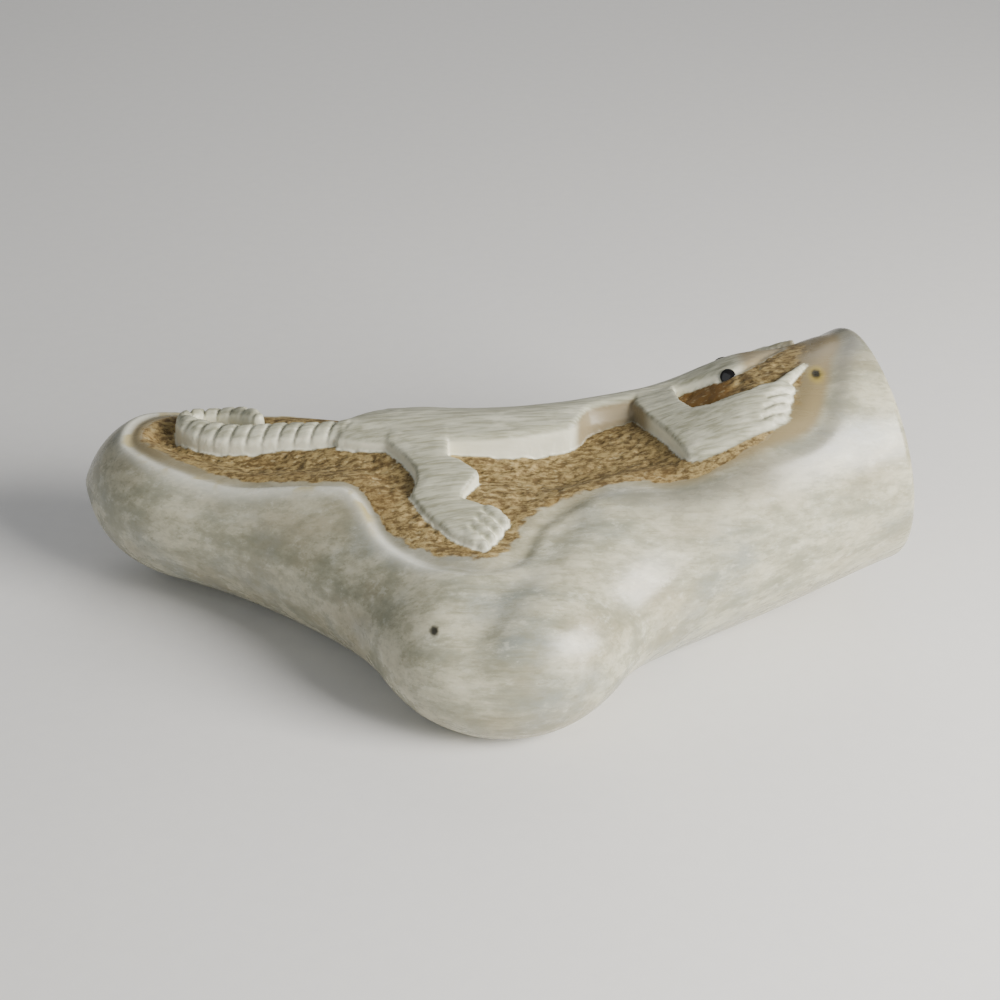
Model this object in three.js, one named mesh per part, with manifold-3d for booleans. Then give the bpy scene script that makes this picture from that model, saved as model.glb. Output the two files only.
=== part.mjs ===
// A lizard carved in relief on a fork of antler. The antler lies on its side, its short tine
// towards -Y. The lizard lies on top in a pocket cut down to the spongy core, head towards +X.

import * as THREE from 'three';
import { mergeVertices } from 'three/addons/utils/BufferGeometryUtils.js';
import Module from 'manifold-3d';

const wasm = await Module();
wasm.setup();

// The beam of the antler, in millimetres. Each station's place along it is a share of its length,
// side is how far its middle lies towards +Y, and under is the gap below it.
const ANTLER_LENGTH = 140;
const BEAM = [
  { at: -0.529, side: 15, under: 5, width: 25, height: 23.6 },
  { at: -0.3, side: 11, under: 4.4, width: 30, height: 25.8 },
  { at: -0.057, side: 4, under: 0.9, width: 40, height: 33 },
  { at: 0.171, side: 2, under: 0.4, width: 45.6, height: 38 },
  { at: 0.3, side: 4.5, under: 2.2, width: 47, height: 44.4 },
  { at: 0.471, side: 12, under: 7.3, width: 44, height: 40.2 },
];
const LEFT_END_ROUNDING = 18;
const LEFT_END_NORMAL = [-1, -0.05, 0.1];
const RIGHT_END_NORMAL = [1, 0.25, 0.15];
const RIGHT_END_SHARE = 0.446;
const OVERRUN = 14;

// A wide round form that slopes the far side away: where it takes over from the skin, and how high
const SHOULDER = [
  { at: -0.43, side: 12, height: 37 },
  { at: -0.3, side: 9, height: 39.5 },
  { at: -0.057, side: 6.5, height: 36.8 },
  { at: 0.071, side: 6, height: 38.6 },
  { at: 0.171, side: 7, height: 43.1 },
  { at: 0.264, side: 9, height: 47.5 },
  { at: 0.393, side: 12, height: 50.4 },
];
const SHOULDER_SLOPE = THREE.MathUtils.degToRad(32);
const SHOULDER_RADIUS = 40;
const SHOULDER_ROUNDING = 4;

// The tine: stations from its tip to its root, each at a distance towards -Y
const TINE_REACH = 44;
const TINE = [
  { at: -1.045, across: 1.5, under: 0, width: 30, height: 23 },
  { at: -0.591, across: -0.8, under: -0.5, width: 44.6, height: 27 },
  { at: -0.136, across: -4.4, under: -1, width: 70.6, height: 30 },
];
const TINE_TIP_ROUNDING = 12;
const TINE_ROOT = 8;
const TINE_ROOT_ROUNDING = 6;
const FORK_BLEND = 19;

// A shallow trough in the top of the tine, beside the beam
const TROUGH_FROM = [9, -20];
const TROUGH_TO = [-3, -37];
const TROUGH_DEPTH = 1.5;
const TROUGH_WIDTH = 5;
const TROUGH_BOTTOM = 9;
const TROUGH_TOP = 15;

// The pocket: its rim in hundredths of the lizard's length, and its depth below the surface
const LIZARD_LENGTH = 100;
const POCKET = [
  { at: -40, depth: 3.7 }, { at: -25, depth: 3.4 }, { at: -14, depth: 3.4 }, { at: -5, depth: 4.3 },
  { at: 10, depth: 5.8 }, { at: 20, depth: 4.8 }, { at: 30, depth: 3.6 }, { at: 42, depth: 3.4 },
];
const RIM_DEPTH = 1;
const BANK_WIDTH = 7;
const SHALLOW_FROM = -8;
const SHALLOW_TO = -20;
const SHALLOW_SHARE = 0.5;
const POCKET_HEADROOM = 3;
const NEAR_RIM = [
  [-62.9, 9.8], [-60.1, 5.9], [-55.7, 2.4], [-47.5, -1.8], [-40.9, -4.5], [-31.1, -7.3], [-24.7, -9.4],
  [-21.5, -13], [-18.2, -19.1], [-12.6, -24.4], [-7.9, -27], [-2.8, -27.8], [3.1, -25.3], [6.1, -19.9],
  [10.4, -17], [20, -14.6], [27.5, -15], [33.5, -14.5], [42.8, -12], [49.3, -9.2], [52, -4],
];
const FAR_RIM = [
  [53.8, 3], [55.8, 8], [55.8, 13.5], [53, 19], [45, 23.6], [34, 23.6], [22, 20.5], [8, 19.5],
  [-8, 19.5], [-22, 19], [-36, 19], [-48, 20], [-57, 18.5], [-62, 14.5],
];

// The lizard's trunk and head: near and far edge at each station, in hundredths of its length,
// drop of its top below the antler's old surface and width of the bevel along its edges
const TRUNK = [
  { at: -27, near: 0.8, far: 4.8, drop: 1, bevel: 0.6 },
  { at: -22, near: -1, far: 7.4, drop: 0.8, bevel: 0.6 },
  { at: -15, near: -2.6, far: 10.4, drop: 0.6, bevel: 0.6 },
  { at: 0, near: -3.6, far: 11.6, drop: 0.6, bevel: 0.6 },
  { at: 8, near: -2.6, far: 11.6, drop: 0.6, bevel: 0.6 },
  { at: 12.4, near: -1.4, far: 11.4, drop: 0.6, bevel: 0.8 },
  { at: 15, near: 1.6, far: 11.4, drop: 0.7, bevel: 3 },
  { at: 22, near: 3.2, far: 11.8, drop: 0.8, bevel: 3.4 },
  { at: 28, near: 6.2, far: 12.4, drop: 0.8, bevel: 1.6 },
  { at: 33, near: 4.6, far: 14, drop: 0.7, bevel: 1.8 },
  { at: 37.4, near: 2.6, far: 15.8, drop: 0.6, bevel: 2.4 },
  { at: 41.5, near: 3.4, far: 15.4, drop: 0.6, bevel: 2 },
  { at: 46, near: 6.4, far: 13.4, drop: 0.9, bevel: 1.4 },
  { at: 50, near: 9.4, far: 11.4, drop: 1.8, bevel: 0.9 },
];
const BEVEL_FALL = 0.8;
const TRUNK_CROWN = 0.4;
const ROOT_DEPTH = 11;

// The tail: a curved path in hundredths of the lizard's length, cut across by grooves
const TAIL_PATH = [
  [-25, 2.8], [-30, 3.2], [-36.5, 4.3], [-43.5, 5.5], [-48.5, 7.2], [-52.3, 9.8], [-54, 12.6],
  [-52.8, 14.8], [-49.5, 15.3], [-46, 13.9], [-43.3, 11.8], [-41, 9.6],
];
const TAIL_WIDTH = 3.9;
const TAIL_TIP_WIDTH = 2.2;
const TAIL_SEGMENTS = 17;
const TAIL_GROOVE_DEPTH = 0.6;
const TAIL_GROOVE_NARROWING = 0.3;
const TAIL_GROOVE_SHARE = 0.16;
const TAIL_DROP = 0.9;

// The legs: outlines from above in hundredths of the lizard's length, each ending in toes
const HIND_LEG = [
  [-18.6, -1.8], [-15.6, -5.2], [-13.6, -8.4], [-13.3, -10.5], [-14.2, -13.3], [-12, -16.8], [-7.7, -21.1],
  [-4, -23.4], [0.3, -18], [-2.7, -16.8], [-6.1, -15.1], [-5.9, -14], [-3.5, -10.6], [-6.5, -7.8],
  [-8.6, -6.5], [-8.6, -0.5], [-18, 0.5],
];
const HIND_TOES = { from: [-3.8, -23.3], to: [0.2, -18], reach: [1.6, -1.1] };
const FRONT_LEG = [
  [22.2, 4], [24.2, -0.6], [27.4, -6], [30.2, -11.3], [32, -11.9], [36.6, -11.3], [43.6, -9.4],
  [45.7, -2.4], [42.5, -2], [40.2, -2.8], [33.9, -2.9], [31.2, -2], [29.4, 1.4], [28.6, 7], [23, 7.6],
];
const FRONT_TOES = { from: [43.5, -9.2], to: [45.5, -2.6], reach: [2, 0.8] };
const LONG_FINGER = { from: [45, -2.2], reach: [5.3, 5.2], width: 1.7 };
const TOES = 4;
const TOE_WIDTH_SHARE = 1.06;
const LEG_DROP = 0.9;
const LEG_BEVEL = 0.5;
const TOE_BEVEL = 0.2;
const MIRROR_LINE = 3;
const FAR_SPREAD = 0.5;
const HIND_FAR_LINE = 4;
const FRONT_FAR_LINE = 14.4;

// The eyes: black stone dots set in drilled sockets
const EYE_AT = 38.2;
const NEAR_EYE_SHARE = 0.5;
const FAR_EYE_SHARE = 0.2;
const EYE_DIAMETER = 2.6;
const EYE_CLEARANCE = 0.3;
const SOCKET_DEPTH = 1.8;
const EYE_PROUD = 0.3;
const EYE_FLAT_SHARE = 0.64;
const EYE_FLAT_RISE = 0.7;
const EYE_SIDES = 16;

// Facet sizes
const BODY_CELL = 5;
const POCKET_CELL = 2.5;
const RIM_STEPS = 3;

const HUNDREDTH = LIZARD_LENGTH / 100;
const TOP_SEARCH_HEIGHT = 90;
const HALVINGS = 30;
const SKY_HEIGHT = 60;
const AXES = [[1, 0, 0], [0, 1, 0], [0, 0, 1]];
const SEWING_GAP = 1e-4;
const SMALLEST_FACET = 0.02;
const MID_HEIGHT = 15;

// Joins a and b with a rounded valley of size k
function smoothMin(a, b, k) {
  const h = Math.min(Math.max(0.5 + (0.5 * (b - a)) / k, 0), 1);
  return b * (1 - h) + a * h - k * h * (1 - h);
}

function smoothMax(a, b, k) {
  return -smoothMin(-a, -b, k);
}

// Smooth curve through values at stations, straight beyond both ends
function curveThrough(stations, values) {
  const last = stations.length - 1;
  const slopes = values.map((_, i) => {
    const before = Math.max(i - 1, 0);
    const after = Math.min(i + 1, last);
    return (values[after] - values[before]) / (stations[after] - stations[before]);
  });
  return (t) => {
    let i = 0;
    while (i < last - 1 && t > stations[i + 1]) i += 1;
    const span = stations[i + 1] - stations[i];
    const u = (t - stations[i]) / span;
    const v = Math.min(Math.max(u, 0), 1);
    const curve = (2 * v ** 3 - 3 * v ** 2 + 1) * values[i]
      + (v ** 3 - 2 * v ** 2 + v) * span * slopes[i]
      + (3 * v ** 2 - 2 * v ** 3) * values[i + 1]
      + (v ** 3 - v ** 2) * span * slopes[i + 1];
    return curve + (u - v) * span * (u > 1 ? slopes[i + 1] : slopes[i]);
  };
}

// Rough distance to an ellipse of half sizes a and b, negative inside
function ellipseDistance(u, v, a, b) {
  return (Math.hypot(u / a, v / b) - 1) * Math.min(a, b);
}

function planeDistance(point, through, normal) {
  const length = Math.hypot(...normal);
  return point.reduce((sum, value, i) => sum + ((value - through[i]) * normal[i]) / length, 0);
}

// Curves of a run of stations: where its middle lies and its half sizes
function stationCurves(stations, scale, middle) {
  const places = stations.map((s) => s.at * scale);
  return {
    middle: curveThrough(places, stations.map((s) => s[middle])),
    height: curveThrough(places, stations.map((s) => s.under + s.height / 2)),
    halfWidth: curveThrough(places, stations.map((s) => s.width / 2)),
    halfHeight: curveThrough(places, stations.map((s) => s.height / 2)),
  };
}

const beam = stationCurves(BEAM, ANTLER_LENGTH, 'side');
const tine = stationCurves(TINE, TINE_REACH, 'across');
const leftEnd = [BEAM[0].at * ANTLER_LENGTH, BEAM[0].side, BEAM[0].height / 2];
const rightStation = BEAM[BEAM.length - 1];
const rightEnd = [
  RIGHT_END_SHARE * ANTLER_LENGTH,
  rightStation.side,
  rightStation.under + rightStation.height / 2,
];

const shoulderPlaces = SHOULDER.map((s) => s.at * ANTLER_LENGTH);
const shoulderSide = curveThrough(shoulderPlaces, SHOULDER.map((s) => s.side));
const shoulderHeight = curveThrough(shoulderPlaces, SHOULDER.map((s) => s.height));

function shoulderDistance(x, y, z) {
  const across = y - shoulderSide(x) + SHOULDER_RADIUS * Math.sin(SHOULDER_SLOPE);
  const above = z - shoulderHeight(x) + SHOULDER_RADIUS * Math.cos(SHOULDER_SLOPE);
  return Math.hypot(across, above) - SHOULDER_RADIUS;
}

// Eases from 0 at low to 1 at high
function easeBetween(low, high, value) {
  const u = Math.min(Math.max((value - low) / (high - low), 0), 1);
  return u * u * (3 - 2 * u);
}

// Distance from a point to the line from a to b, seen from above
function lineDistance([ax, ay], [bx, by], x, y) {
  const [ex, ey] = [bx - ax, by - ay];
  const along = Math.min(Math.max(((x - ax) * ex + (y - ay) * ey) / (ex * ex + ey * ey), 0), 1);
  return Math.hypot(x - ax - along * ex, y - ay - along * ey);
}

function troughDepth(x, y, z) {
  const across = lineDistance(TROUGH_FROM, TROUGH_TO, x, y) / TROUGH_WIDTH;
  return TROUGH_DEPTH * Math.exp(-across * across) * easeBetween(TROUGH_BOTTOM, TROUGH_TOP, z);
}

// Rough distance to the antler's skin, negative inside, before its ends and underside are cut flat
function antler(x, y, z) {
  const trunk = ellipseDistance(
    y - beam.middle(x), z - beam.height(x), beam.halfWidth(x), beam.halfHeight(x));
  const stub = ellipseDistance(
    x - tine.middle(y), z - tine.height(y), tine.halfWidth(y), tine.halfHeight(y));
  const tipped = smoothMax(stub, -TINE_REACH - y, TINE_TIP_ROUNDING);
  const rooted = smoothMax(tipped, y - TINE_ROOT, TINE_ROOT_ROUNDING);
  const fork = smoothMin(trunk, rooted, FORK_BLEND) + troughDepth(x, y, z);
  const sloped = smoothMax(fork, shoulderDistance(x, y, z), SHOULDER_ROUNDING);
  return smoothMax(sloped, planeDistance([x, y, z], leftEnd, LEFT_END_NORMAL), LEFT_END_ROUNDING);
}

// Height of the antler's skin above a point, found by halving
function skinHeight(x, y) {
  let low = MID_HEIGHT;
  let high = TOP_SEARCH_HEIGHT;
  for (let i = 0; i < HALVINGS; i += 1) {
    const middle = (low + high) / 2;
    if (antler(x, y, middle) > 0) high = middle;
    else low = middle;
  }
  return low;
}

// Closed smooth outline through points
function closedOutline(points, steps) {
  const count = points.length;
  const outline = [];
  for (let i = 0; i < count; i += 1) {
    const [a, b, c, d] = [-1, 0, 1, 2].map((shift) => points[(i + shift + count) % count]);
    for (let step = 0; step < steps; step += 1) {
      const t = step / steps;
      outline.push([0, 1].map((k) => 0.5 * (2 * b[k] + (c[k] - a[k]) * t
        + (2 * a[k] - 5 * b[k] + 4 * c[k] - d[k]) * t ** 2
        + (3 * b[k] - a[k] - 3 * c[k] + d[k]) * t ** 3)));
    }
  }
  return outline;
}

// Distance from a point to an outline, negative inside
function outlineDistance(outline, x, y) {
  let nearest = Infinity;
  let inside = false;
  outline.forEach(([ax, ay], i) => {
    const [bx, by] = outline[(i + 1) % outline.length];
    nearest = Math.min(nearest, lineDistance([ax, ay], [bx, by], x, y));
    if ((ay > y) !== (by > y) && x < ax + ((y - ay) * (bx - ax)) / (by - ay)) inside = !inside;
  });
  return inside ? -nearest : nearest;
}

function toMillimetres(points) {
  return points.map((point) => point.map((value) => value * HUNDREDTH));
}

const rim = closedOutline(toMillimetres([...NEAR_RIM, ...FAR_RIM]), RIM_STEPS);

const fullDepth = curveThrough(POCKET.map((s) => s.at * HUNDREDTH), POCKET.map((s) => s.depth));

// How deep the pocket's floor lies below the skin: it falls away from the rim over a bank, and
// stays shallower on the tine
function floorDepth(x, y, insideRim) {
  const onTine = easeBetween(SHALLOW_FROM, SHALLOW_TO, y);
  const full = fullDepth(x) * (1 - (1 - SHALLOW_SHARE) * onTine);
  return RIM_DEPTH + (full - RIM_DEPTH) * easeBetween(0, BANK_WIDTH, insideRim);
}

// Everything between the pocket's floor and a little above the skin, also outside its rim
function overFloor(x, y, z) {
  const skin = antler(x, y, z);
  const floor = floorDepth(x, y, -outlineDistance(rim, x, y));
  return Math.max(-skin - floor, skin - POCKET_HEADROOM, MID_HEIGHT - z);
}

function geometryOf(positions, index) {
  const geometry = new THREE.BufferGeometry();
  geometry.setAttribute('position', new THREE.Float32BufferAttribute(positions, 3));
  geometry.setIndex(index);
  return geometry;
}

// Faceted surface of a field: one point in each cell that the surface crosses
function polygonise(field, low, high, cell) {
  const counts = high.map((top, i) => Math.ceil((top - low[i]) / cell) + 1);
  const [, ny, nz] = counts;
  const slot = (i, j, k) => (i * ny + j) * nz + k;
  const place = (i, j, k) => [low[0] + i * cell, low[1] + j * cell, low[2] + k * cell];
  const values = new Float64Array(counts[0] * ny * nz);
  const cells = (ends, act) => {
    for (let i = 0; i < ends[0]; i += 1) {
      for (let j = 0; j < ends[1]; j += 1) {
        for (let k = 0; k < ends[2]; k += 1) act(i, j, k);
      }
    }
  };
  cells(counts, (i, j, k) => {
    values[slot(i, j, k)] = field(...place(i, j, k));
  });
  const corners = [0, 1, 2, 3, 4, 5, 6, 7].map((n) => [n & 1, (n >> 1) & 1, n >> 2]);
  const positions = [];
  const pointOf = new Map();
  cells(counts.map((count) => count - 1), (i, j, k) => {
    const crossings = [];
    corners.forEach((a, n) => {
      [1, 2, 4].filter((bit) => !(n & bit)).forEach((bit) => {
        const b = corners[n | bit];
        const va = values[slot(i + a[0], j + a[1], k + a[2])];
        const vb = values[slot(i + b[0], j + b[1], k + b[2])];
        if (va < 0 === vb < 0) return;
        const t = va / (va - vb);
        crossings.push(a.map((value, m) => value + t * (b[m] - value)));
      });
    });
    if (!crossings.length) return;
    const mean = [0, 1, 2].map((m) => crossings.reduce((sum, c) => sum + c[m], 0) / crossings.length);
    pointOf.set(slot(i, j, k), positions.length / 3);
    positions.push(...place(i + mean[0], j + mean[1], k + mean[2]));
  });
  const index = [];
  cells(counts.map((count) => count - 1), (i, j, k) => {
    const here = values[slot(i, j, k)] < 0;
    AXES.forEach((edge, axis) => {
      if (here === values[slot(i + edge[0], j + edge[1], k + edge[2])] < 0) return;
      const [u, v] = [AXES[(axis + 1) % 3], AXES[(axis + 2) % 3]];
      const quad = [[0, 0], [1, 0], [1, 1], [0, 1]].map(([p, q]) => pointOf.get(
        slot(i - p * u[0] - q * v[0], j - p * u[1] - q * v[1], k - p * u[2] - q * v[2])));
      if (!here) quad.reverse();
      index.push(quad[0], quad[1], quad[2], quad[0], quad[2], quad[3]);
    });
  });
  return geometryOf(positions, index);
}

// Closed skin over rings of points, the same number in each, with a point in the middle of each end
function loft(rings) {
  const count = rings[0].length;
  const positions = rings.flat(2);
  const index = [];
  for (let r = 0; r < rings.length - 1; r += 1) {
    for (let i = 0; i < count; i += 1) {
      const a = r * count + i;
      const b = r * count + ((i + 1) % count);
      index.push(a, b + count, b, a, a + count, b + count);
    }
  }
  [0, rings.length - 1].forEach((r) => {
    const ring = rings[r];
    const centre = positions.length / 3;
    positions.push(...[0, 1, 2].map((k) => ring.reduce((sum, point) => sum + point[k], 0) / count));
    for (let i = 0; i < count; i += 1) {
      const a = r * count + i;
      const b = r * count + ((i + 1) % count);
      if (r === 0) index.push(a, b, centre);
      else index.push(b, a, centre);
    }
  });
  return geometryOf(positions, index);
}

// The same geometry with its facets sharing their corners, without facets of no width
function sewn(geometry) {
  const bare = geometry.clone();
  bare.deleteAttribute('normal');
  bare.deleteAttribute('uv');
  const merged = mergeVertices(bare, SEWING_GAP);
  const corners = Array.from(merged.index.array);
  const kept = [];
  for (let i = 0; i < corners.length; i += 3) {
    const [a, b, c] = corners.slice(i, i + 3);
    if (a !== b && b !== c && c !== a) kept.push(a, b, c);
  }
  merged.setIndex(kept);
  return merged;
}

// Solid for joining and cutting, made from a closed geometry
function solidOf(geometry) {
  const merged = sewn(geometry);
  return new wasm.Manifold(new wasm.Mesh({
    numProp: 3,
    vertProperties: new Float32Array(merged.attributes.position.array),
    triVerts: new Uint32Array(merged.index.array),
  }));
}

function meshOf(solid, name, material) {
  const { vertProperties, triVerts } = solid.simplify(SMALLEST_FACET).getMesh();
  const geometry = geometryOf(Array.from(vertProperties), Array.from(triVerts));
  geometry.computeVertexNormals();
  const mesh = new THREE.Mesh(geometry, material);
  mesh.name = name;
  return mesh;
}

// Section across a strip of relief: foot, bevelled edge, crowned top, bevelled edge, foot
function stripSection(placeAt, near, far, drop, bevel, crown) {
  const middle = (near + far) / 2;
  const stops = [
    [near, ROOT_DEPTH],
    [near, drop + bevel * BEVEL_FALL],
    [near + bevel, drop],
    [middle, drop - crown],
    [far - bevel, drop],
    [far, drop + bevel * BEVEL_FALL],
    [far, ROOT_DEPTH],
  ];
  return stops.map(([across, below]) => {
    const [x, y] = placeAt(across);
    return [x, y, skinHeight(x, y) - below];
  });
}

// Section of the lizard's trunk at a place along it
const trunkPlaces = TRUNK.map((s) => s.at);
const trunkCurves = Object.fromEntries(['near', 'far', 'drop', 'bevel'].map(
  (key) => [key, curveThrough(trunkPlaces, TRUNK.map((s) => s[key]))]));

function trunkSection(at) {
  const x = at * HUNDREDTH;
  const near = trunkCurves.near(at) * HUNDREDTH;
  const far = trunkCurves.far(at) * HUNDREDTH;
  return stripSection((y) => [x, y], near, far, trunkCurves.drop(at), trunkCurves.bevel(at), TRUNK_CROWN);
}

function trunk() {
  const places = [];
  TRUNK.forEach((station, i) => {
    places.push(station.at);
    if (i < TRUNK.length - 1) places.push((station.at + TRUNK[i + 1].at) / 2);
  });
  return solidOf(loft(places.map(trunkSection)));
}

// The tail: between grooves each segment keeps its full width and height
function tail() {
  const path = toMillimetres(TAIL_PATH).map(([x, y]) => new THREE.Vector3(x, y, 0));
  const curve = new THREE.CatmullRomCurve3(path, false, 'centripetal');
  const rings = [];
  for (let segment = 0; segment < TAIL_SEGMENTS; segment += 1) {
    [[0, 1], [TAIL_GROOVE_SHARE, 0], [1 - TAIL_GROOVE_SHARE, 0]].forEach(([part, groove]) => {
      const t = (segment + part) / TAIL_SEGMENTS;
      const point = curve.getPointAt(t);
      const along = curve.getTangentAt(t);
      const width = TAIL_WIDTH + (TAIL_TIP_WIDTH - TAIL_WIDTH) * t ** 3;
      const half = width / 2 - groove * TAIL_GROOVE_NARROWING;
      const placeAt = (across) => [point.x - along.y * across, point.y + along.x * across];
      rings.push(stripSection(
        placeAt, -half, half, TAIL_DROP + groove * TAIL_GROOVE_DEPTH, half / 2, TRUNK_CROWN));
    });
  }
  return solidOf(loft(rings));
}

// Flat-topped relief with bevelled edges that follows the skin, from its outline seen from above
function relief(outline, drop, bevel) {
  const shape = new THREE.Shape(outline.map(([x, y]) => new THREE.Vector2(x, y)));
  const geometry = sewn(new THREE.ExtrudeGeometry(shape, {
    depth: ROOT_DEPTH - drop - bevel,
    bevelEnabled: true,
    bevelThickness: bevel,
    bevelSize: bevel,
    bevelOffset: -bevel,
    bevelSegments: 1,
  }));
  const position = geometry.attributes.position;
  for (let i = 0; i < position.count; i += 1) {
    const [x, y, z] = [position.getX(i), position.getY(i), position.getZ(i)];
    position.setZ(i, z + skinHeight(x, y) - ROOT_DEPTH);
  }
  return solidOf(geometry);
}

// Outline of one toe: a bar from its root with a round tip
function toeOutline(root, reach, width) {
  const length = Math.hypot(...reach);
  const [ux, uy] = reach.map((value) => value / length);
  const half = width / 2;
  const outline = [[-1, -half], [-1, half]].map(([back, side]) => [back * half * 2, side]);
  for (let i = 0; i <= 4; i += 1) {
    const angle = Math.PI / 2 - (i * Math.PI) / 4;
    outline.push([length - half + half * Math.cos(angle), half * Math.sin(angle)]);
  }
  return outline.reverse().map(([a, s]) => [root[0] + ux * a - uy * s, root[1] + uy * a + ux * s]);
}

function finger(root, reach, width) {
  return relief(toMillimetres(toeOutline(root, reach, width)), LEG_DROP, TOE_BEVEL * width);
}

function toes(foot, place) {
  const from = place(foot.from);
  const to = place(foot.to);
  const tip = place(foot.from.map((value, k) => value + foot.reach[k]));
  const reach = tip.map((value, k) => value - from[k]);
  const width = (Math.hypot(to[0] - from[0], to[1] - from[1]) / TOES) * TOE_WIDTH_SHARE;
  const pieces = [];
  for (let i = 0; i < TOES; i += 1) {
    const share = (i + 0.5) / TOES;
    const root = from.map((value, k) => value + share * (to[k] - value));
    pieces.push(finger(root, reach, width));
  }
  return pieces;
}

// Where a point of the near side lies on the near side, and where on the far side, drawn in closer
function bothSides(farLine) {
  return [
    (point) => point,
    ([x, y]) => [x, farLine + FAR_SPREAD * (MIRROR_LINE - y)],
  ];
}

function legPair(outline, foot, farLine) {
  return bothSides(farLine).flatMap((place) => [
    relief(toMillimetres(outline.map(place)), LEG_DROP, LEG_BEVEL),
    ...toes(foot, place),
  ]);
}

// The long finger that each hand holds out beside the snout
function longFingers() {
  return bothSides(FRONT_FAR_LINE).map((place) => {
    const from = place(LONG_FINGER.from);
    const tip = place(LONG_FINGER.from.map((value, k) => value + LONG_FINGER.reach[k]));
    return finger(from, tip.map((value, k) => value - from[k]), LONG_FINGER.width);
  });
}

// Where an eye sits: part of the way up the bevel along that side of the head, facing out from it
function eyeSeat(side) {
  const section = trunkSection(EYE_AT);
  const [low, high] = side < 0 ? [section[1], section[2]] : [section[5], section[4]];
  const a = new THREE.Vector3(...low);
  const b = new THREE.Vector3(...high);
  const slope = b.clone().sub(a).normalize();
  const facing = new THREE.Vector3(0, slope.z * side, Math.abs(slope.y)).normalize();
  return { place: a.lerp(b, side < 0 ? NEAR_EYE_SHARE : FAR_EYE_SHARE), facing };
}

function roundBar(diameter, bottom, top, crown, seat) {
  const profile = [[0, bottom], [diameter / 2, bottom], [diameter / 2, top]];
  if (crown > 0) profile.push([(diameter / 2) * EYE_FLAT_SHARE, top + crown * EYE_FLAT_RISE]);
  profile.push([0, top + crown]);
  const geometry = new THREE.LatheGeometry(profile.map(([r, h]) => new THREE.Vector2(r, h)), EYE_SIDES);
  const turn = new THREE.Quaternion().setFromUnitVectors(new THREE.Vector3(0, 1, 0), seat.facing);
  geometry.applyQuaternion(turn);
  geometry.translate(seat.place.x, seat.place.y, seat.place.z);
  return solidOf(geometry);
}

function socket(seat) {
  return roundBar(EYE_DIAMETER + 2 * EYE_CLEARANCE, -SOCKET_DEPTH, EYE_DIAMETER, 0, seat);
}

function eye(seat) {
  return roundBar(EYE_DIAMETER, EYE_CLEARANCE - SOCKET_DEPTH, 0, EYE_PROUD, seat);
}

// A block that starts at a plane and reaches far along its normal, for flat cuts
function blockBeyond(through, normal) {
  const size = 3 * ANTLER_LENGTH;
  const geometry = new THREE.BoxGeometry(size, size, size);
  geometry.translate(0, 0, size / 2);
  const facing = new THREE.Vector3(...normal).normalize();
  const turn = new THREE.Quaternion().setFromUnitVectors(new THREE.Vector3(0, 0, 1), facing);
  geometry.applyQuaternion(turn);
  geometry.translate(...through);
  return solidOf(geometry);
}

const reach = ANTLER_LENGTH / 2 + OVERRUN;

// The whole antler, polished, before the carving starts
function antlerSolid() {
  const skin = (x, y, z) => Math.max(antler(x, y, z), x - reach, -z - MID_HEIGHT);
  const low = [-reach, -TINE_REACH - BODY_CELL * 2, -MID_HEIGHT - BODY_CELL];
  const high = [reach + BODY_CELL, TINE_REACH + BODY_CELL, SKY_HEIGHT];
  return solidOf(polygonise(skin, low, high, BODY_CELL))
    .subtract(blockBeyond([0, 0, 0], [0, 0, -1]))
    .subtract(blockBeyond(rightEnd, RIGHT_END_NORMAL));
}

// The pocket as a body of its own: what lies over its floor, inside its rim
function pocketSolid() {
  const margin = POCKET_CELL * 2;
  const [xs, ys] = [0, 1].map((k) => rim.map((point) => point[k]));
  const low = [Math.min(...xs) - margin, Math.min(...ys) - margin, MID_HEIGHT - margin];
  const high = [Math.max(...xs) + margin, Math.max(...ys) + margin, SKY_HEIGHT];
  const shape = new THREE.Shape(rim.map(([x, y]) => new THREE.Vector2(x, y)));
  const column = new THREE.ExtrudeGeometry(shape, { depth: SKY_HEIGHT, bevelEnabled: false });
  const room = (x, y, z) => Math.max(
    overFloor(x, y, z), low[0] + POCKET_CELL - x, x - high[0] + POCKET_CELL,
    low[1] + POCKET_CELL - y, y - high[1] + POCKET_CELL);
  return solidOf(polygonise(room, low, high, POCKET_CELL)).intersect(solidOf(column));
}

const seats = { near_eye_inlay: eyeSeat(-1), far_eye_inlay: eyeSeat(1) };

function carving() {
  let solid = antlerSolid().subtract(pocketSolid());
  const parts = [
    trunk(),
    tail(),
    ...legPair(HIND_LEG, HIND_TOES, HIND_FAR_LINE),
    ...legPair(FRONT_LEG, FRONT_TOES, FRONT_FAR_LINE),
    ...longFingers(),
  ];
  parts.forEach((part) => {
    solid = solid.add(part);
  });
  Object.values(seats).forEach((seat) => {
    solid = solid.subtract(socket(seat));
  });
  return solid;
}

function antlerMaterial() {
  return new THREE.MeshStandardMaterial({ color: '#d8d3c2', roughness: 0.35, metalness: 0 });
}

function jetMaterial() {
  return new THREE.MeshStandardMaterial({ color: '#101014', roughness: 0.2, metalness: 0 });
}

const figure = new THREE.Group();
figure.add(meshOf(carving(), 'antler_lizard_carving', antlerMaterial()));
Object.entries(seats).forEach(([name, seat]) => {
  figure.add(meshOf(eye(seat), name, jetMaterial()));
});

// The origin is the middle of the underside of the box around the carving
const box = new THREE.Box3().setFromObject(figure);
figure.position.set(-(box.min.x + box.max.x) / 2, -(box.min.y + box.max.y) / 2, -box.min.z);

export default figure;
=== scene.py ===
"""A lizard carved in relief on a polished fork of antler, dressed around its CAD model."""
import math

import bmesh
import bpy
import numpy as np
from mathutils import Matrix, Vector
from mathutils.bvhtree import BVHTree


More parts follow.
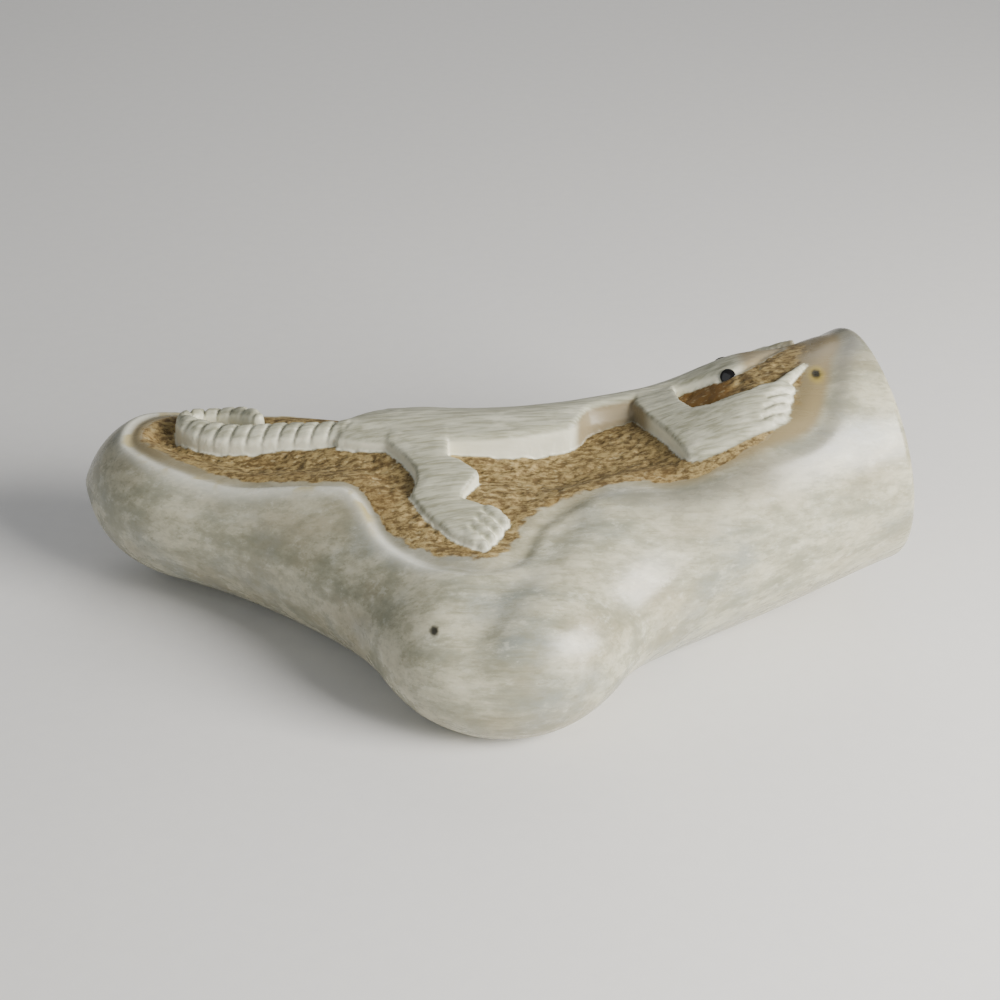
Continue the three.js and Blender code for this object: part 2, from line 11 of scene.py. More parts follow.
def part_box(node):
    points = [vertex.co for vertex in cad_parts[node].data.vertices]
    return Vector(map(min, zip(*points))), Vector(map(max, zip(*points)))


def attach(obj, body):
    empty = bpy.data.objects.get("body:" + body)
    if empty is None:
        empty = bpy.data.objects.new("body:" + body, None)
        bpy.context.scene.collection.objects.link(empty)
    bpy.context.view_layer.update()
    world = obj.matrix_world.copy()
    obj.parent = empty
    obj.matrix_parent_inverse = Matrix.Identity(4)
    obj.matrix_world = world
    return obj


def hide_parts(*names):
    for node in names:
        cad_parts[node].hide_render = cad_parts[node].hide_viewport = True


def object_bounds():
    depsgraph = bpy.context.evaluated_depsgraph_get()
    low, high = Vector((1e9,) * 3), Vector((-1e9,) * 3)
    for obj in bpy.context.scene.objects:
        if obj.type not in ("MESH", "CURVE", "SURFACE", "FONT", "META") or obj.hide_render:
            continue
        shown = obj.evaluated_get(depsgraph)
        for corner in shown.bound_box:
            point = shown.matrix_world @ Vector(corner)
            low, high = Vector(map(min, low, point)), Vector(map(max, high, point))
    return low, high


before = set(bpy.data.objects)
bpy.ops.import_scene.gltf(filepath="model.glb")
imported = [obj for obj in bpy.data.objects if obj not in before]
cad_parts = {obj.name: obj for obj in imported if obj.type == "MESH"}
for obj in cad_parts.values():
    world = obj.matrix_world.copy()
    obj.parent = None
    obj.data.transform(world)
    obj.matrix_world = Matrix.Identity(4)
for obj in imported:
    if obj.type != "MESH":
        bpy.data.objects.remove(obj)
CAD_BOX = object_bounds()
MM = 0.001

# The antler in millimetres: stations along the beam, and along the tine from tip to root
ANTLER_LENGTH = 140.0
BEAM_AT = np.array([-0.529, -0.3, -0.057, 0.171, 0.3, 0.471]) * ANTLER_LENGTH
BEAM_SIDE = [15, 11, 4, 2, 4.5, 12]
BEAM_UNDER = np.array([5, 4.4, 0.9, 0.4, 2.2, 7.3])
BEAM_WIDTH = np.array([25, 30, 40, 45.6, 47, 44])
BEAM_HEIGHT = np.array([23.6, 25.8, 33, 38, 44.4, 40.2])
TINE_REACH = 44.0
TINE_AT = np.array([-1.045, -0.591, -0.136]) * TINE_REACH
TINE_ACROSS = [1.5, -0.8, -4.4]
TINE_UNDER = np.array([0, -0.5, -1])
TINE_WIDTH = np.array([30, 44.6, 70.6])
TINE_HEIGHT = np.array([23, 27, 30])
TINE_TIP_ROUNDING = 12
TINE_ROOT = 8
TINE_ROOT_ROUNDING = 6
FORK_BLEND = 19
SHOULDER_AT = np.array([-0.43, -0.3, -0.057, 0.071, 0.171, 0.264, 0.393]) * ANTLER_LENGTH
SHOULDER_SIDE = [12, 9, 6.5, 6, 7, 9, 12]
SHOULDER_HEIGHT = [37, 39.5, 36.8, 38.6, 43.1, 47.5, 50.4]
SHOULDER_SLOPE = math.radians(32)
SHOULDER_RADIUS = 40
SHOULDER_ROUNDING = 4
TROUGH_FROM = (9.0, -20.0)
TROUGH_TO = (-3.0, -37.0)
TROUGH_DEPTH = 1.5
TROUGH_WIDTH = 5.0
TROUGH_BOTTOM = 9.0
TROUGH_TOP = 15.0
LEFT_END = (-74.06, 15, 12.6)
LEFT_END_NORMAL = (-1, -0.05, 0.1)
LEFT_END_ROUNDING = 18
RIGHT_END = (62.44, 12, 27.4)
RIGHT_END_NORMAL = (1, 0.25, 0.15)
RIGHT_EDGE_ROUNDING = 1.4
GROUND_ROUNDING = 0.4

# The pocket: its depth at stations along the antler, its rolled rim, its bank, and its outline.
# It gets shallower on the tine, from one place across the antler to another.
POCKET_AT = [-40, -25, -14, -5, 10, 20, 30, 42]
POCKET_DEPTH = [3.5, 3.0, 2.8, 4.0, 5.4, 4.2, 2.8, 2.2]
RIM_DEPTH = 1.0
BANK_WIDTH = 7.0
SHALLOW_FROM = -6.0
SHALLOW_TO = -16.0
SHALLOW_SHARE = 0.5
CUT_ABOVE = 15.0
CUT_FADE = 2.0
RIM_ROLL_AT = [-60, -35, -15, 5, 30, 50]
RIM_ROLL = [2.4, 1.4, 2.4, 2.6, 3.6, 4.0]
ROLL_INSIDE_SHARE = 0.3
RIM_STEPS = 6
LIZARD_PAST_RIM = 1.0
SPONGY_BANK = (0.25, 0.8)
SPONGY_END = (48, 44)
NEAR_RIM = [
    (-62.9, 9.8), (-60.1, 5.9), (-55.7, 2.4), (-47.5, -1.8), (-40.9, -4.5), (-31.1, -7.3),
    (-24.7, -9.4), (-21.5, -13), (-18.2, -19.1), (-12.6, -24.4), (-7.9, -27), (-2.8, -27.8),
    (3.1, -25.3), (6.1, -19.9), (10.4, -17), (20, -14.6), (27.5, -15), (33.5, -14.5),
    (42.8, -12), (49.3, -9.2), (52, -4),
]
FAR_RIM = [
    (53.8, 3), (55.8, 8), (55.8, 13.5), (53, 19), (45, 23.6), (34, 23.6), (22, 20.5), (8, 19.5),
    (-8, 19.5), (-22, 19), (-36, 19), (-48, 20), (-57, 18.5), (-62, 14.5),
]

# Random bumps of the pocket's floor and the lizard's top: seed, height, length and width
FLOOR_BUMPS = ((3, 0.14, 2.1, 1.3), (5, 0.1, 0.9, 0.6))
FLOOR_PITS = (8, 0.3, 1.5, 0.8)
FLOOR_PITS_FADE = (0.35, 0.8)
TOOL_MARKS = ((11, 0.05, 5.0, 0.55), (13, 0.04, 2.5, 0.4))

# The lizard, seen from above: its trunk's edges, tail, legs and toes. A drop is measured down from
# the old skin. A row of toes has a start, an end and the reach of its toes, a finger has a root,
# a reach and a width, and a notch between toes is as long as these shares of a toe's reach.
TRUNK_AT = [-27, -22, -15, 0, 8, 12.4, 15, 22, 28, 33, 37.4, 41, 44.4, 47.4]
TRUNK_NEAR = [0.8, -1, -2.6, -3.6, -2.6, -1.4, 1.6, 3.2, 6.4, 5.2, 3.6, 4.4, 7.2, 9.8]
TRUNK_FAR = [4.8, 7.4, 10.4, 11.6, 11.6, 11.4, 11.4, 11.8, 12.4, 14, 15.8, 15.4, 13.4, 11.4]
TRUNK_DROP = [1, 0.8, 0.6, 0.6, 0.6, 0.6, 0.7, 0.8, 0.9, 0.9, 1.1, 1.5, 2, 2.4]
TRUNK_BEVEL = [0.9, 0.9, 0.9, 0.9, 1, 1.2, 3, 3.4, 1.4, 1.6, 1.8, 1.6, 1.4, 0.9]
TRUNK_STEPS = 75
TRUNK_LEAST_BEVEL = 0.5
TRUNK_LEAST_HALF = 1.0
BEVEL_FALL = 0.8
TRUNK_CROWN = 0.4
TAIL_PATH = [
    (-25, 3.4), (-30, 4), (-36.5, 5.2), (-43.5, 6.4), (-48.5, 8), (-52.5, 10.4), (-54.2, 13),
    (-52.9, 15.2), (-49.5, 15.8), (-46, 14.6), (-43.4, 12.6), (-41.2, 10.6),
]
TAIL_STEPS = 160
TAIL_WIDTH = 3.9
TAIL_TIP_WIDTH = 2.2
TAIL_SEGMENTS = 17
TAIL_GROOVE_DEPTH = 0.65
TAIL_GROOVE_NARROWING = 0.08
TAIL_GROOVE_WIDTH = 0.3
TAIL_GROOVE_SLANT = 0.45
TAIL_DROP = 0.5
TAIL_CROWN = 1.25
HIND_LEG = [
    (-18.6, -1.8), (-15.6, -5.2), (-13.6, -8.4), (-13.3, -10.5), (-14.2, -13.3), (-12, -16.8),
    (-7.7, -21.1), (-4, -23.4), (0.3, -18), (-2.7, -16.8), (-6.1, -15.1), (-5.9, -14),
    (-3.5, -10.6), (-6.5, -7.8), (-8.6, -6.5), (-8.6, -0.5), (-18, 0.5),
]
HIND_TOES = ((-3.8, -23.3), (0.2, -18), (1.6, -1.1))
FRONT_LEG = [
    (22.2, 4), (24.2, -0.6), (27.4, -6), (30.2, -11.3), (32, -11.9), (36.6, -11.3),
    (43.6, -9.4), (45.7, -2.4), (42.5, -2), (40.2, -2.8), (33.9, -2.9), (31.2, -2),
    (29.4, 1.4), (28.6, 7), (23, 7.6),
]
FRONT_TOES = ((43.5, -9.2), (45.5, -2.6), (2, 0.8))
LONG_FINGER = ((44.6, -2.6), (5.6, 5.6), 2.2)
FINGER_TAPER = 0.75
TOES = 4
TOE_WIDTH_SHARE = 1.06
TOE_ROUNDING = 0.55
TOE_RAISE = 0.1
NOTCH_BACK = 1.1
NOTCH_AHEAD = 1.2
NOTCH_DEPTH = 0.6
NOTCH_WIDTH = 0.34
LEG_DROP = 0.9
LEG_BEVEL = 0.5
LEG_CORNER = 0.15
LEG_SWELL = 0.12
LEG_SWELL_WIDTH = 2.0
MIRROR_LINE = 3.0
FAR_SPREAD = 0.5
HIND_FAR_LINE = 4.0
FRONT_FAR_LINE = 14.4
LEGS = ((HIND_LEG, HIND_TOES, HIND_FAR_LINE), (FRONT_LEG, FRONT_TOES, FRONT_FAR_LINE))
LIZARD_EDGE = 0.35
HIP_BLEND = 0.9
FALL_OUTSIDE = 3.0

# Where colours change, in millimetres. A pair says where a mask is 0 and where it is full.
UPPER_HEIGHT = 18.0
LIZARD_FADE = (0.35, 0.1)
# The lizard's deeper walls are painted brighter than its tops: painted light, as if they faced the lamp
LIT_FLANK_DEPTH = (1.0, 1.9)
# The snout gets a brown that is partly stain and partly painted shade; the neck's deeper walls by the
# shoulder get the same brown as painted shade
SNOUT_STAIN_AND_SHADE = (38.0, 41.0)
SNOUT_MIDDLE = 9.0
SNOUT_REACH = (8, 4)
NECK_FROM = (11.5, 13.5)
NECK_TO = (25.5, 23)
NECK_DEPTH = (0.7, 1.5)
NECK_SIDE = (8, 6)
FLOOR_FADE = (0.1, 1)
PALE_BANK_AT = [-60, -40, -20, 0, 18, 42, 46, 56]
PALE_BANK = [3, 1.4, 1.2, 4, 1.4, 1.6, 7, 10]
TAN_FADE = (1.5, -0.8)
TAN_BANK_AT = [-60, -40, 0, 20, 30, 56]
TAN_BANK = [0.8, 0.5, 0.2, 0.35, 0.8, 1]
# Between head and hand the floor is amber, partly its own stain and partly painted shade of the narrow
# deep gap
AMBER_SHADE_FROM = (26, 29)
AMBER_SHADE_TO = (39, 36)
AMBER_SHADE_SIDE = (-3, 0)

# Bands along the rim: middle and width, measured outwards from it, and where along the antler
# A band of painted shade outside the rim on the right, where the rolled rim turns away from the light
RIM_SHADE_BAND = (2.6, 2.0)
RIM_SHADE_FROM = (14, 24)
YELLOW_BAND = (0.8, 0.9)
YELLOW_TO = (-18, -22)
# A painted highlight: a pale band just outside the rim on the left, as if the polished rim caught the
# light
RIM_HIGHLIGHT_BAND = (1.2, 1.3)
RIM_HIGHLIGHT_TO = (-4, -14)

# Spots: middle, size, and the share of the size where they end and where they are full
PIT_AT = (-10.0, -37.4, 20.8)
PIT_SIZE = (0.8, 1.2, 0.9)
PORE_AT = (51.1, 0.0, 45.5)
PORE_SIZE = (0.9, 1.2, 2.0)
HALO_SIZE = (1.5, 2.2, 3.6)
HALO_STRENGTH = 0.55
SPOT_FADE = (1.25, 0.5)

# The mesh: the box and the cell of the first net, the columns worked out at once, the facets
# kept, the corners of a cell, and how far from the end of a map a point still has a next column
NET_LOW = np.array([-78.0, -50.0, -2.0])
NET_HIGH = np.array([76.0, 38.0, 52.0])
CELL = 0.33
SLAB = 24
KEPT_FACETS = 190000
CORNERS = [(i, j, k) for i in (0, 1) for j in (0, 1) for k in (0, 1)]
LAST_COLUMN = 1.001

# The eyes, in millimetres. The skin under an eye is looked for from this far above it.
EYE_DIAMETER = 2.6
EYE_PROUD = 0.35
EYE_SUNK = 0.9
EYE_SIDES = 48
EYE_RINGS = 10
EYE_LOOK_FROM = 20.0

# The curve between a screen's values and light
SCREEN_WHITE = 255
SCREEN_DARK = 0.04045
SCREEN_DARK_SLOPE = 12.92
SCREEN_OFFSET = 0.055
SCREEN_POWER = 2.4

# Places of the colour sockets on the node that mixes colours
MIX_INPUTS = (0, 6, 7)
MIX_OUTPUT = 2

# The view and the studio: metres, degrees for the elevation, millimetres for lens and sensor
VIEW_ELEVATION = 32.0
VIEW_DISTANCE = 0.33
VIEW_HEIGHT = 0.015
SENSOR = 36.0
LENS = 69.9
SHIFT_UP = 0.033
CLIP_NEAR = 0.01
CLIP_FAR = 20.0
FLOOR_SIZE = 3.0
AIR_STRENGTH = 0.2
AIR_COLOUR = (0.9, 0.92, 0.95, 1)

# The lights: name, direction, distance, size, power and colour
LIGHTS = (
    ("key_panel", (0.75, -0.5, 0.45), 0.45, 0.24, 4.8, (1, 0.97, 0.92)),
    ("fill_panel", (-0.7, -0.7, 0.6), 0.8, 0.6, 0.9, (0.92, 0.96, 1)),
    ("back_panel", (0.1, 0.8, 0.7), 0.7, 0.4, 0.8, (1, 0.98, 0.95)),
)


def smooth_min(a, b, k):
    """The smaller of two distances, blended over k where they meet."""
    h = np.clip(0.5 + 0.5 * (b - a) / k, 0, 1)
    return b * (1 - h) + a * h - k * h * (1 - h)


def smooth_max(a, b, k):
    """The larger of two distances, blended over k where they meet."""
    return -smooth_min(-a, -b, k)


def smooth_step(low, high, value):
    """0 at low and 1 at high, with a smooth way between them. Low may be above high."""
    u = np.clip((value - low) / (high - low), 0, 1)
    return u**3 * (6 * u**2 - 15 * u + 10)


def curve_through(stations, values, t):
    """Smooth curve through values at stations, straight beyond both ends."""
    s = np.asarray(stations, float)
    v = np.asarray(values, float)
    slope = np.empty_like(v)
    slope[1:-1] = (v[2:] - v[:-2]) / (s[2:] - s[:-2])
    slope[0] = (v[1] - v[0]) / (s[1] - s[0])
    slope[-1] = (v[-1] - v[-2]) / (s[-1] - s[-2])
    i = np.clip(np.searchsorted(s, t) - 1, 0, len(s) - 2)
    span = s[i + 1] - s[i]
    u = (t - s[i]) / span
    w = np.clip(u, 0, 1)
    curve = (
        (2 * w**3 - 3 * w**2 + 1) * v[i]
        + (w**3 - 2 * w**2 + w) * span * slope[i]
        + (3 * w**2 - 2 * w**3) * v[i + 1]
        + (w**3 - w**2) * span * slope[i + 1]
    )
    return curve + (u - w) * span * np.where(u > 1, slope[i + 1], slope[i])


def ellipse_distance(u, v, a, b):
    """Rough distance to an ellipse with half axes a and b, negative inside."""
    return (np.sqrt((u / a) ** 2 + (v / b) ** 2) - 1) * np.minimum(a, b)


def plane_distance(x, y, z, through, normal):
    """Distance to a plane, negative behind it."""
    nx, ny, nz = Vector(normal).normalized()
    return (x - through[0]) * nx + (y - through[1]) * ny + (z - through[2]) * nz


def far_shoulder(x, y, z):
    """Distance to a wide round form that slopes the antler's far side away."""
    side = curve_through(SHOULDER_AT, SHOULDER_SIDE, x) - SHOULDER_RADIUS * math.sin(SHOULDER_SLOPE)
    height = curve_through(SHOULDER_AT, SHOULDER_HEIGHT, x) - SHOULDER_RADIUS * math.cos(SHOULDER_SLOPE)
    return np.sqrt((y - side) ** 2 + (z - height) ** 2) - SHOULDER_RADIUS


def trough(x, y, z):
    """How far the skin of the tine is hollowed beside the beam."""
    (ax, ay), (bx, by) = TROUGH_FROM, TROUGH_TO
    ex, ey = bx - ax, by - ay
    along = np.clip(((x - ax) * ex + (y - ay) * ey) / (ex * ex + ey * ey), 0, 1)
    across = ((x - ax - along * ex) ** 2 + (y - ay - along * ey) ** 2) / TROUGH_WIDTH**2
    return TROUGH_DEPTH * np.exp(-across) * smooth_step(TROUGH_BOTTOM, TROUGH_TOP, z)


def antler(x, y, z):
    """Rough distance to the polished antler, negative inside. Arrays broadcast."""
    beam_z = curve_through(BEAM_AT, BEAM_UNDER + BEAM_HEIGHT / 2, x)
    beam = ellipse_distance(
        y - curve_through(BEAM_AT, BEAM_SIDE, x),
        z - beam_z,
        curve_through(BEAM_AT, BEAM_WIDTH / 2, x),
        curve_through(BEAM_AT, BEAM_HEIGHT / 2, x),
    )
    tine = ellipse_distance(
        x - curve_through(TINE_AT, TINE_ACROSS, y),
        z - curve_through(TINE_AT, TINE_UNDER + TINE_HEIGHT / 2, y),
        curve_through(TINE_AT, TINE_WIDTH / 2, y),
        curve_through(TINE_AT, TINE_HEIGHT / 2, y),
    )
    tine = smooth_max(tine, -TINE_REACH - y, TINE_TIP_ROUNDING)
    tine = smooth_max(tine, y - TINE_ROOT, TINE_ROOT_ROUNDING)
    fork = smooth_min(beam, tine, FORK_BLEND) + trough(x, y, z)
    fork = smooth_max(fork, far_shoulder(x, y, z), SHOULDER_ROUNDING)
    fork = smooth_max(fork, plane_distance(x, y, z, LEFT_END, LEFT_END_NORMAL), LEFT_END_ROUNDING)
    sawn = plane_distance(x, y, z, RIGHT_END, RIGHT_END_NORMAL)
    fork = smooth_max(fork, sawn, RIGHT_EDGE_ROUNDING)
    return smooth_max(fork, -z, GROUND_ROUNDING)


def closed_outline(points, steps):
    """Closed smooth outline through points."""
    p = np.asarray(points, float)
    t = (np.arange(steps) / steps)[None, :, None]
    a, b, c, d = (np.roll(p, shift, axis=0)[:, None, :] for shift in (1, 0, -1, -2))
    curve = 0.5 * (
        2 * b + (c - a) * t
        + (2 * a - 5 * b + 4 * c - d) * t**2
        + (3 * b - a - 3 * c + d) * t**3
    )
    return curve.reshape(-1, 2)


def outline_distance(outline, x, y):
    """Distance to a closed outline, negative inside."""
    p = np.asarray(outline, float)
    nearest = np.full(x.shape, np.inf)
    inside = np.zeros(x.shape, bool)
    for (ax, ay), (bx, by) in zip(p, np.roll(p, -1, axis=0)):
        ex, ey = bx - ax, by - ay
        along = np.clip(((x - ax) * ex + (y - ay) * ey) / (ex * ex + ey * ey), 0, 1)
        nearest = np.minimum(nearest, (x - ax - along * ex) ** 2 + (y - ay - along * ey) ** 2)
        if ay != by:
            inside ^= ((ay > y) != (by > y)) & (x < ax + (y - ay) * ex / ey)
    distance = np.sqrt(nearest)
    return np.where(inside, -distance, distance)


def ripple(shape_seed, x, y, size_x, size_y):
    """Smooth random bumps of about the given sizes, between -1 and 1."""
    rng = np.random.default_rng(shape_seed)
    columns = int(np.ptp(x) / size_x) + 4
    rows = int(np.ptp(y) / size_y) + 4
    lattice = rng.uniform(-1, 1, (columns, rows))
    u = (x - x.min()) / size_x + 1
    v = (y - y.min()) / size_y + 1
    i = u.astype(int)
    j = v.astype(int)
    fu = smooth_step(0, 1, u - i)
    fv = smooth_step(0, 1, v - j)
    near_row = lattice[i, j] * (1 - fu) + lattice[i + 1, j] * fu
    far_row = lattice[i, j + 1] * (1 - fu) + lattice[i + 1, j + 1] * fu
    return near_row * (1 - fv) + far_row * fv


def trunk_relief(x, y):
    """Distance to the trunk's outline and the drop of its top, for each column."""
    at = np.linspace(TRUNK_AT[0], TRUNK_AT[-1], TRUNK_STEPS)
    near = np.stack([at, curve_through(TRUNK_AT, TRUNK_NEAR, at)], 1)
    far = np.stack([at, curve_through(TRUNK_AT, TRUNK_FAR, at)], 1)
    distance = outline_distance(np.concatenate([near, far[::-1]]), x, y)
    inside = np.maximum(-distance, 0)
    bevel = np.maximum(curve_through(TRUNK_AT, TRUNK_BEVEL, x), TRUNK_LEAST_BEVEL)
    half = curve_through(TRUNK_AT, (np.array(TRUNK_FAR) - TRUNK_NEAR) / 2, x)
    drop = curve_through(TRUNK_AT, TRUNK_DROP, x)
    drop = drop + BEVEL_FALL * bevel * (1 - np.minimum(inside / bevel, 1)) ** 2
    drop = drop - TRUNK_CROWN * smooth_step(0, 1, inside / np.maximum(half, TRUNK_LEAST_HALF))
    return distance, drop


def tail_line():
    """Close points along the middle of the tail, and how far along it each one is."""
    path = np.asarray(TAIL_PATH, float)
    chords = np.hypot(*np.diff(path, axis=0).T)
    places = np.concatenate([[0], np.cumsum(chords)])
    t = np.linspace(0, places[-1], TAIL_STEPS)
    line = np.stack([curve_through(places, path[:, k], t) for k in (0, 1)], 1)
    travelled = np.concatenate([[0], np.cumsum(np.hypot(*np.diff(line, axis=0).T))])
    return line, travelled


def along_line(line, travelled, x, y):
    """For each column the distance to a line, the way along it, and the distance signed by side."""
    nearest = np.full(x.shape, np.inf)
    along = np.zeros(x.shape)
    side = np.zeros(x.shape)
    for (ax, ay), (ex, ey), start in zip(line, np.diff(line, axis=0), travelled):
        share = np.clip(((x - ax) * ex + (y - ay) * ey) / (ex * ex + ey * ey), 0, 1)
        gap = np.hypot(x - ax - share * ex, y - ay - share * ey)
        closer = gap < nearest
        nearest = np.where(closer, gap, nearest)
        along = np.where(closer, start + share * math.hypot(ex, ey), along)
        turn = (x - ax) * ey - (y - ay) * ex
        side = np.where(closer, np.sign(turn) * gap, side)
    return nearest, along, side


def tail_relief(x, y):
    """The same as trunk_relief for the tail, with its slanting grooves."""
    line, travelled = tail_line()
    nearest, along, side = along_line(line, travelled, x, y)
    length = travelled[-1]
    width = TAIL_WIDTH + (TAIL_TIP_WIDTH - TAIL_WIDTH) * (along / length) ** 3
    pitch = length / TAIL_SEGMENTS
    phase = (along + TAIL_GROOVE_SLANT * side) / pitch
    to_groove = (phase - np.round(phase)) * pitch
    groove = np.exp(-((to_groove / TAIL_GROOVE_WIDTH) ** 2))
    half = width / 2 - TAIL_GROOVE_NARROWING * groove
    drop = TAIL_DROP + TAIL_CROWN * (nearest / half) ** 2 + TAIL_GROOVE_DEPTH * groove
    return nearest - half, drop


def leg_relief(outline, x, y):
    """The same for the slab of a leg, bevelled at its edge and a little higher inside."""
    distance = outline_distance(outline, x, y) - LEG_CORNER
    inside = np.maximum(-distance, 0)
    edge = (1 - np.minimum(inside / LEG_BEVEL, 1)) ** 2
    return distance, LEG_DROP + LEG_BEVEL * edge - LEG_SWELL * np.minimum(inside, LEG_SWELL_WIDTH)


def toe_relief(root, reach, width, x, y, taper=0.0):
    """The same for one toe, which is round on top and may narrow towards its tip."""
    length = math.hypot(*reach)
    ux, uy = reach[0] / length, reach[1] / length
    dx, dy = x - root[0], y - root[1]
    along = np.clip(dx * ux + dy * uy, -width, length - width / 2)
    half = width / 2 * (1 - taper * np.clip(along / length, -1, 1))
    gap = np.hypot(dx - along * ux, dy - along * uy)
    return gap - half, LEG_DROP - TOE_RAISE + TOE_ROUNDING * (gap / half) ** 2


def long_finger(place, x, y):
    """The same for a hand's long finger, moved by place."""
    root, reach, width = LONG_FINGER
    tip = place((root[0] + reach[0], root[1] + reach[1]))
    root = place(root)
    return toe_relief(root, (tip[0] - root[0], tip[1] - root[1]), width, x, y, FINGER_TAPER)


def toe_notches(start, end, reach, x, y):
    """Depth of the notches between toes whose roots stand from start to end."""
    depth = np.zeros(x.shape)
    for i in range(1, TOES):
        share = i / TOES
        dx, dy = (v - a - share * (b - a) for v, a, b in zip((x, y), start, end))
        along = (dx * reach[0] + dy * reach[1]) / math.hypot(*reach) ** 2
        along = np.clip(along, -NOTCH_BACK, NOTCH_AHEAD)
        gap = np.hypot(dx - along * reach[0], dy - along * reach[1])
        depth = np.maximum(depth, NOTCH_DEPTH * np.exp(-((gap / NOTCH_WIDTH) ** 2)))
    return depth


def leg_with_toes(outline, toes, place, x, y):
    """Reliefs of one leg, its slab and its toes, each moved by place, and the depth of its notches."""
    start, end, reach = toes
    tip = place((start[0] + reach[0], start[1] + reach[1]))
    start = place(start)
    end = place(end)
    reach = (tip[0] - start[0], tip[1] - start[1])
    width = math.dist(start, end) / TOES * TOE_WIDTH_SHARE
    reliefs = [leg_relief([place(point) for point in outline], x, y)]
    for i in range(TOES):
        share = (i + 0.5) / TOES
        root = tuple(a + share * (b - a) for a, b in zip(start, end))
        reliefs.append(toe_relief(root, reach, width, x, y))
    return reliefs, toe_notches(start, end, reach, x, y)


def near_place(point):
    """Leaves a point of a near leg where it is."""
    return point


def far_place(line):
    """A function that moves a point of a near leg over to the far leg, which is drawn in closer."""
    def place(point):
        return point[0], line + FAR_SPREAD * (MIRROR_LINE - point[1])
    return place


def lizard_relief(x, y):
    """Distance to the whole lizard seen from above, and the drop of its top below the old skin."""
    reliefs = [trunk_relief(x, y), tail_relief(x, y)]
    notches = np.zeros(x.shape)
    for outline, toes, line in LEGS:
        for place in (near_place, far_place(line)):
            leg, leg_notches = leg_with_toes(outline, toes, place, x, y)
            reliefs += leg
            notches = np.maximum(notches, leg_notches)
            if outline is FRONT_LEG:
                reliefs.append(long_finger(place, x, y))
    distance = reliefs[0][0]
    drop = reliefs[0][1] + FALL_OUTSIDE * np.maximum(distance, 0)
    for gap, fall in reliefs[1:]:
        drop = smooth_min(drop, fall + FALL_OUTSIDE * np.maximum(gap, 0), HIP_BLEND)
        distance = np.minimum(distance, gap)
    return distance, drop + notches


def bumps(layers, x, y):
    """Sum of layers of random bumps."""
    return sum(height * ripple(seed, x, y, length, width) for seed, height, length, width in layers)


def floor_pits(x, y):
    """Depth of the pits that stand here and there in the floor."""
    seed, depth, length, width = FLOOR_PITS
    return smooth_step(*FLOOR_PITS_FADE, ripple(seed, x, y, length, width)) * depth


def floor_relief(rim_gap, x, y):
    """Depth of the pocket below the old skin: a rolled rim, a bank, then a rough spongy floor."""
    bank = smooth_step(0, BANK_WIDTH, -rim_gap)
    on_tine = smooth_step(-SHALLOW_FROM, -SHALLOW_TO, -y)
    full = curve_through(POCKET_AT, POCKET_DEPTH, x) * (1 - (1 - SHALLOW_SHARE) * on_tine)
    roll = curve_through(RIM_ROLL_AT, RIM_ROLL, x)
    rolled = smooth_step(-roll, ROLL_INSIDE_SHARE * roll, -rim_gap)
    depth = RIM_DEPTH * rolled + (full - RIM_DEPTH) * bank
    spongy = smooth_step(*SPONGY_BANK, bank) * smooth_step(*SPONGY_END, x)
    return depth + spongy * (bumps(FLOOR_BUMPS, x, y) + floor_pits(x, y))


def plan_maps(xs, ys):
    """Everything that depends only on where a column stands."""
    x, y = np.meshgrid(xs, ys, indexing="ij")
    rim_gap = outline_distance(closed_outline(NEAR_RIM + FAR_RIM, RIM_STEPS), x, y)
    lizard_gap, lizard_drop = lizard_relief(x, y)
    return {
        "rim": rim_gap,
        "floor": floor_relief(rim_gap, x, y),
        "lizard": lizard_gap,
        "top": lizard_drop + bumps(TOOL_MARKS, x, y),
    }


def carved(skin, z, maps, pick):
    """Distance to the finished carving from the distance to the old skin."""
    rim, floor, lizard, top = (maps[key][pick][..., None] for key in ("rim", "floor", "lizard", "top"))
    cut = skin + floor * smooth_step(CUT_ABOVE, CUT_ABOVE + CUT_FADE, z)
    figure = smooth_max(skin + top, lizard, LIZARD_EDGE)
    figure = np.maximum(figure, rim - LIZARD_PAST_RIM)
    return np.minimum(cut, figure)


def grid_values(xs, ys, zs, maps):
    """Distances at every corner of the net, worked out slab by slab to save memory."""
    values = np.empty((len(xs), len(ys), len(zs)), np.float32)
    y = ys[None, :, None]
    z = zs[None, None, :]
    for start in range(0, len(xs), SLAB):
        part = slice(start, start + SLAB)
        values[part] = carved(antler(xs[part, None, None], y, z), z, maps, part)
    return values


def crossed_cells(inside):
    """The cells that the surface passes through, and a grid that holds their numbers."""
    counts = [n - 1 for n in inside.shape]
    full = np.zeros(counts, np.uint8)
    for i, j, k in CORNERS:
        full += inside[i:i + counts[0], j:j + counts[1], k:k + counts[2]]
    crossed = (full > 0) & (full < len(CORNERS))
    cells = np.argwhere(crossed)
    number = np.full(counts, -1, np.int32)
    number[crossed] = np.arange(len(cells))
    return cells, number


def cell_points(values, cells):
    """One point in each cell: the middle of the places where its edges meet the surface."""
    total = np.zeros((len(cells), 3))
    hits = np.zeros(len(cells))
    for corner in CORNERS:
        for axis in range(3):
            if corner[axis]:
                continue
            other = tuple(c + (m == axis) for m, c in enumerate(corner))
            a = values[tuple((cells + corner).T)]
            b = values[tuple((cells + other).T)]
            change = (a < 0) != (b < 0)
            share = np.where(change, a / np.where(change, a - b, 1), 0)
            spot = np.tile(np.array(corner, float), (len(cells), 1))
            spot[:, axis] += share
            total += spot * change[:, None]
            hits += change
    return cells + total / hits[:, None]


